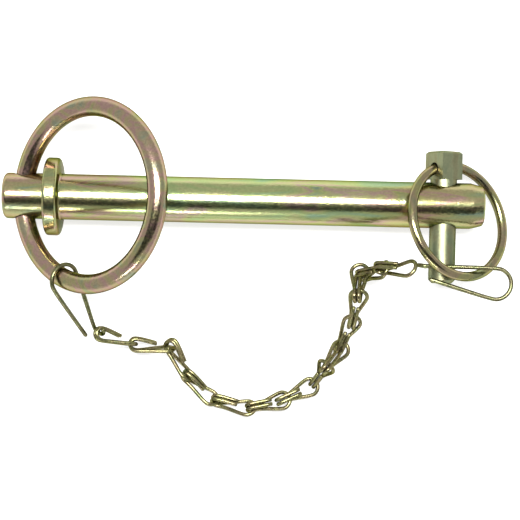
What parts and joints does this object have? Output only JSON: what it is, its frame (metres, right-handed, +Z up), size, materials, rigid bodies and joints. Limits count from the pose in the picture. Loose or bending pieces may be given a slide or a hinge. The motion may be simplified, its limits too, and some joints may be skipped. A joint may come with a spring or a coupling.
{
  "type": "hitch pin with linch pin and chain",
  "caption": "Round steel hitch pin with a welded collar, a swinging handle ring through its head, and a ringed linch pin through its tip, kept together by a double-wire chain.",
  "frame": {"origin": "on the pin's axis at the collar's face on the shank side", "axes": "+X along the pin from its head to its tip, +Y along the linch pin towards its head, +Z up"},
  "size_m": [0.2113, 0.1305, 0.0608],
  "materials": {
    "pin_steel": "yellow passivated zinc plate on turned steel",
    "linch_steel": "pale zinc plate on turned and drawn steel",
    "chain_steel": "olive passivated zinc plate on drawn wire"
  },
  "bodies": {
    "main_pin": {"main_pin": "pin_steel"},
    "handle_ring": {"handle_ring": "pin_steel"},
    "linch_pin": {"linch_pin": "linch_steel"},
    "linch_ring": {"linch_ring": "linch_steel"},
    "left_hook": {"left_hook": "chain_steel"},
    "right_hook": {"right_hook": "chain_steel"},
    "link_01": {"link_01": "chain_steel"},
    "link_02": {"link_02": "chain_steel"},
    "link_03": {"link_03": "chain_steel"},
    "link_04": {"link_04": "chain_steel"},
    "link_05": {"link_05": "chain_steel"},
    "link_06": {"link_06": "chain_steel"},
    "link_07": {"link_07": "chain_steel"},
    "link_08": {"link_08": "chain_steel"},
    "link_09": {"link_09": "chain_steel"},
    "link_10": {"link_10": "chain_steel"},
    "link_11": {"link_11": "chain_steel"},
    "link_12": {"link_12": "chain_steel"},
    "link_13": {"link_13": "chain_steel"},
    "link_14": {"link_14": "chain_steel"}
  },
  "joints": [
    {"name": "ring_swing", "type": "hinge", "parent": "main_pin", "child": "handle_ring", "pos_m": [-0.0149, 0, 0], "axis": [0, -1, 0], "range_deg": [-23.8, 313.5]},
    {"name": "left_hook_swing", "type": "hinge", "parent": "handle_ring", "child": "left_hook", "pos_m": [0.00384, -0.03359, 0.01312], "axis": [0, -1, 0], "range_deg": [-30, 10]},
    {"name": "link_01_swing", "type": "hinge", "parent": "left_hook", "child": "link_01", "pos_m": [0.01875, -0.05676, -0.00039], "axis": [-0.3134, -0.9496, 0], "range_deg": [-2, 8]},
    {"name": "link_02_swing", "type": "hinge", "parent": "link_01", "child": "link_02", "pos_m": [0.03232, -0.06101, -0.00698], "axis": [0.1072, 0.9942, 0], "range_deg": [-3, 3]},
    {"name": "link_03_swing", "type": "hinge", "parent": "link_02", "child": "link_03", "pos_m": [0.04797, -0.06304, -0.00907], "axis": [-0.8619, -0.5071, 0], "range_deg": [-26, 12]},
    {"name": "link_04_swing", "type": "hinge", "parent": "link_03", "child": "link_04", "pos_m": [0.05549, -0.07529, -0.01047], "axis": [0.6655, 0.7464, 0], "range_deg": [-14, 10]},
    {"name": "link_05_swing", "type": "hinge", "parent": "link_04", "child": "link_05", "pos_m": [0.06683, -0.08441, -0.01259], "axis": [-0.182, -0.9833, 0], "range_deg": [-5, 8]},
    {"name": "link_06_swing", "type": "hinge", "parent": "link_05", "child": "link_06", "pos_m": [0.08301, -0.08632, -0.01181], "axis": [-0.2471, 0.969, 0], "range_deg": [-18, 5]},
    {"name": "link_07_swing", "type": "hinge", "parent": "link_06", "child": "link_07", "pos_m": [0.09733, -0.08189, -0.01176], "axis": [0.4445, -0.8958, 0], "range_deg": [-6, 30]},
    {"name": "link_08_swing", "type": "hinge", "parent": "link_07", "child": "link_08", "pos_m": [0.1082, -0.07505, -0.0123], "axis": [-0.8737, 0.4865, 0], "range_deg": [-30, 10]},
    {"name": "link_09_swing", "type": "hinge", "parent": "link_08", "child": "link_09", "pos_m": [0.11307, -0.06702, 0.00082], "axis": [0.7628, -0.6466, 0], "range_deg": [-10, 30]},
    {"name": "link_10_swing", "type": "hinge", "parent": "link_09", "child": "link_10", "pos_m": [0.11899, -0.05792, -0.00762], "axis": [-0.9152, 0.403, 0], "range_deg": [-30, 30]},
    {"name": "link_11_swing", "type": "hinge", "parent": "link_10", "child": "link_11", "pos_m": [0.12305, -0.0468, -0.00184], "axis": [0.9827, -0.1853, 0], "range_deg": [-30, 30]},
    {"name": "link_12_swing", "type": "hinge", "parent": "link_11", "child": "link_12", "pos_m": [0.12397, -0.03582, 0.00528], "axis": [-0.9922, 0.1247, 0], "range_deg": [-30, 18]},
    {"name": "link_13_swing", "type": "hinge", "parent": "link_12", "child": "link_13", "pos_m": [0.12858, -0.02893, -0.00027], "axis": [0.3531, -0.9356, 0], "range_deg": [-8, 22]},
    {"name": "link_14_swing", "type": "hinge", "parent": "link_13", "child": "link_14", "pos_m": [0.13577, -0.02633, 0.00955], "axis": [-0.0305, 0.9995, 0], "range_deg": [-12, 20]},
    {"name": "pin_slide", "type": "slide", "parent": "main_pin", "child": "linch_pin", "axis": [0, 1, 0], "range_m": [0, 0.042]},
    {"name": "linch_ring_flip", "type": "hinge", "parent": "linch_pin", "child": "linch_ring", "pos_m": [0.159, 0.01601, 0], "axis": [-0.8193, -0.1525, 0.5526], "range_deg": [0, 180]},
    {"name": "right_hook_swing", "type": "hinge", "parent": "linch_ring", "child": "right_hook", "pos_m": [0.16802, -0.02923, 0.00751], "axis": [0.8497, 0, -0.5273], "range_deg": [-8, 6]}
  ],
  "couplings": [
    {"joint": "linch_ring_flip", "follows": "pin_slide", "rad_per_m": 74.8}
  ]
}
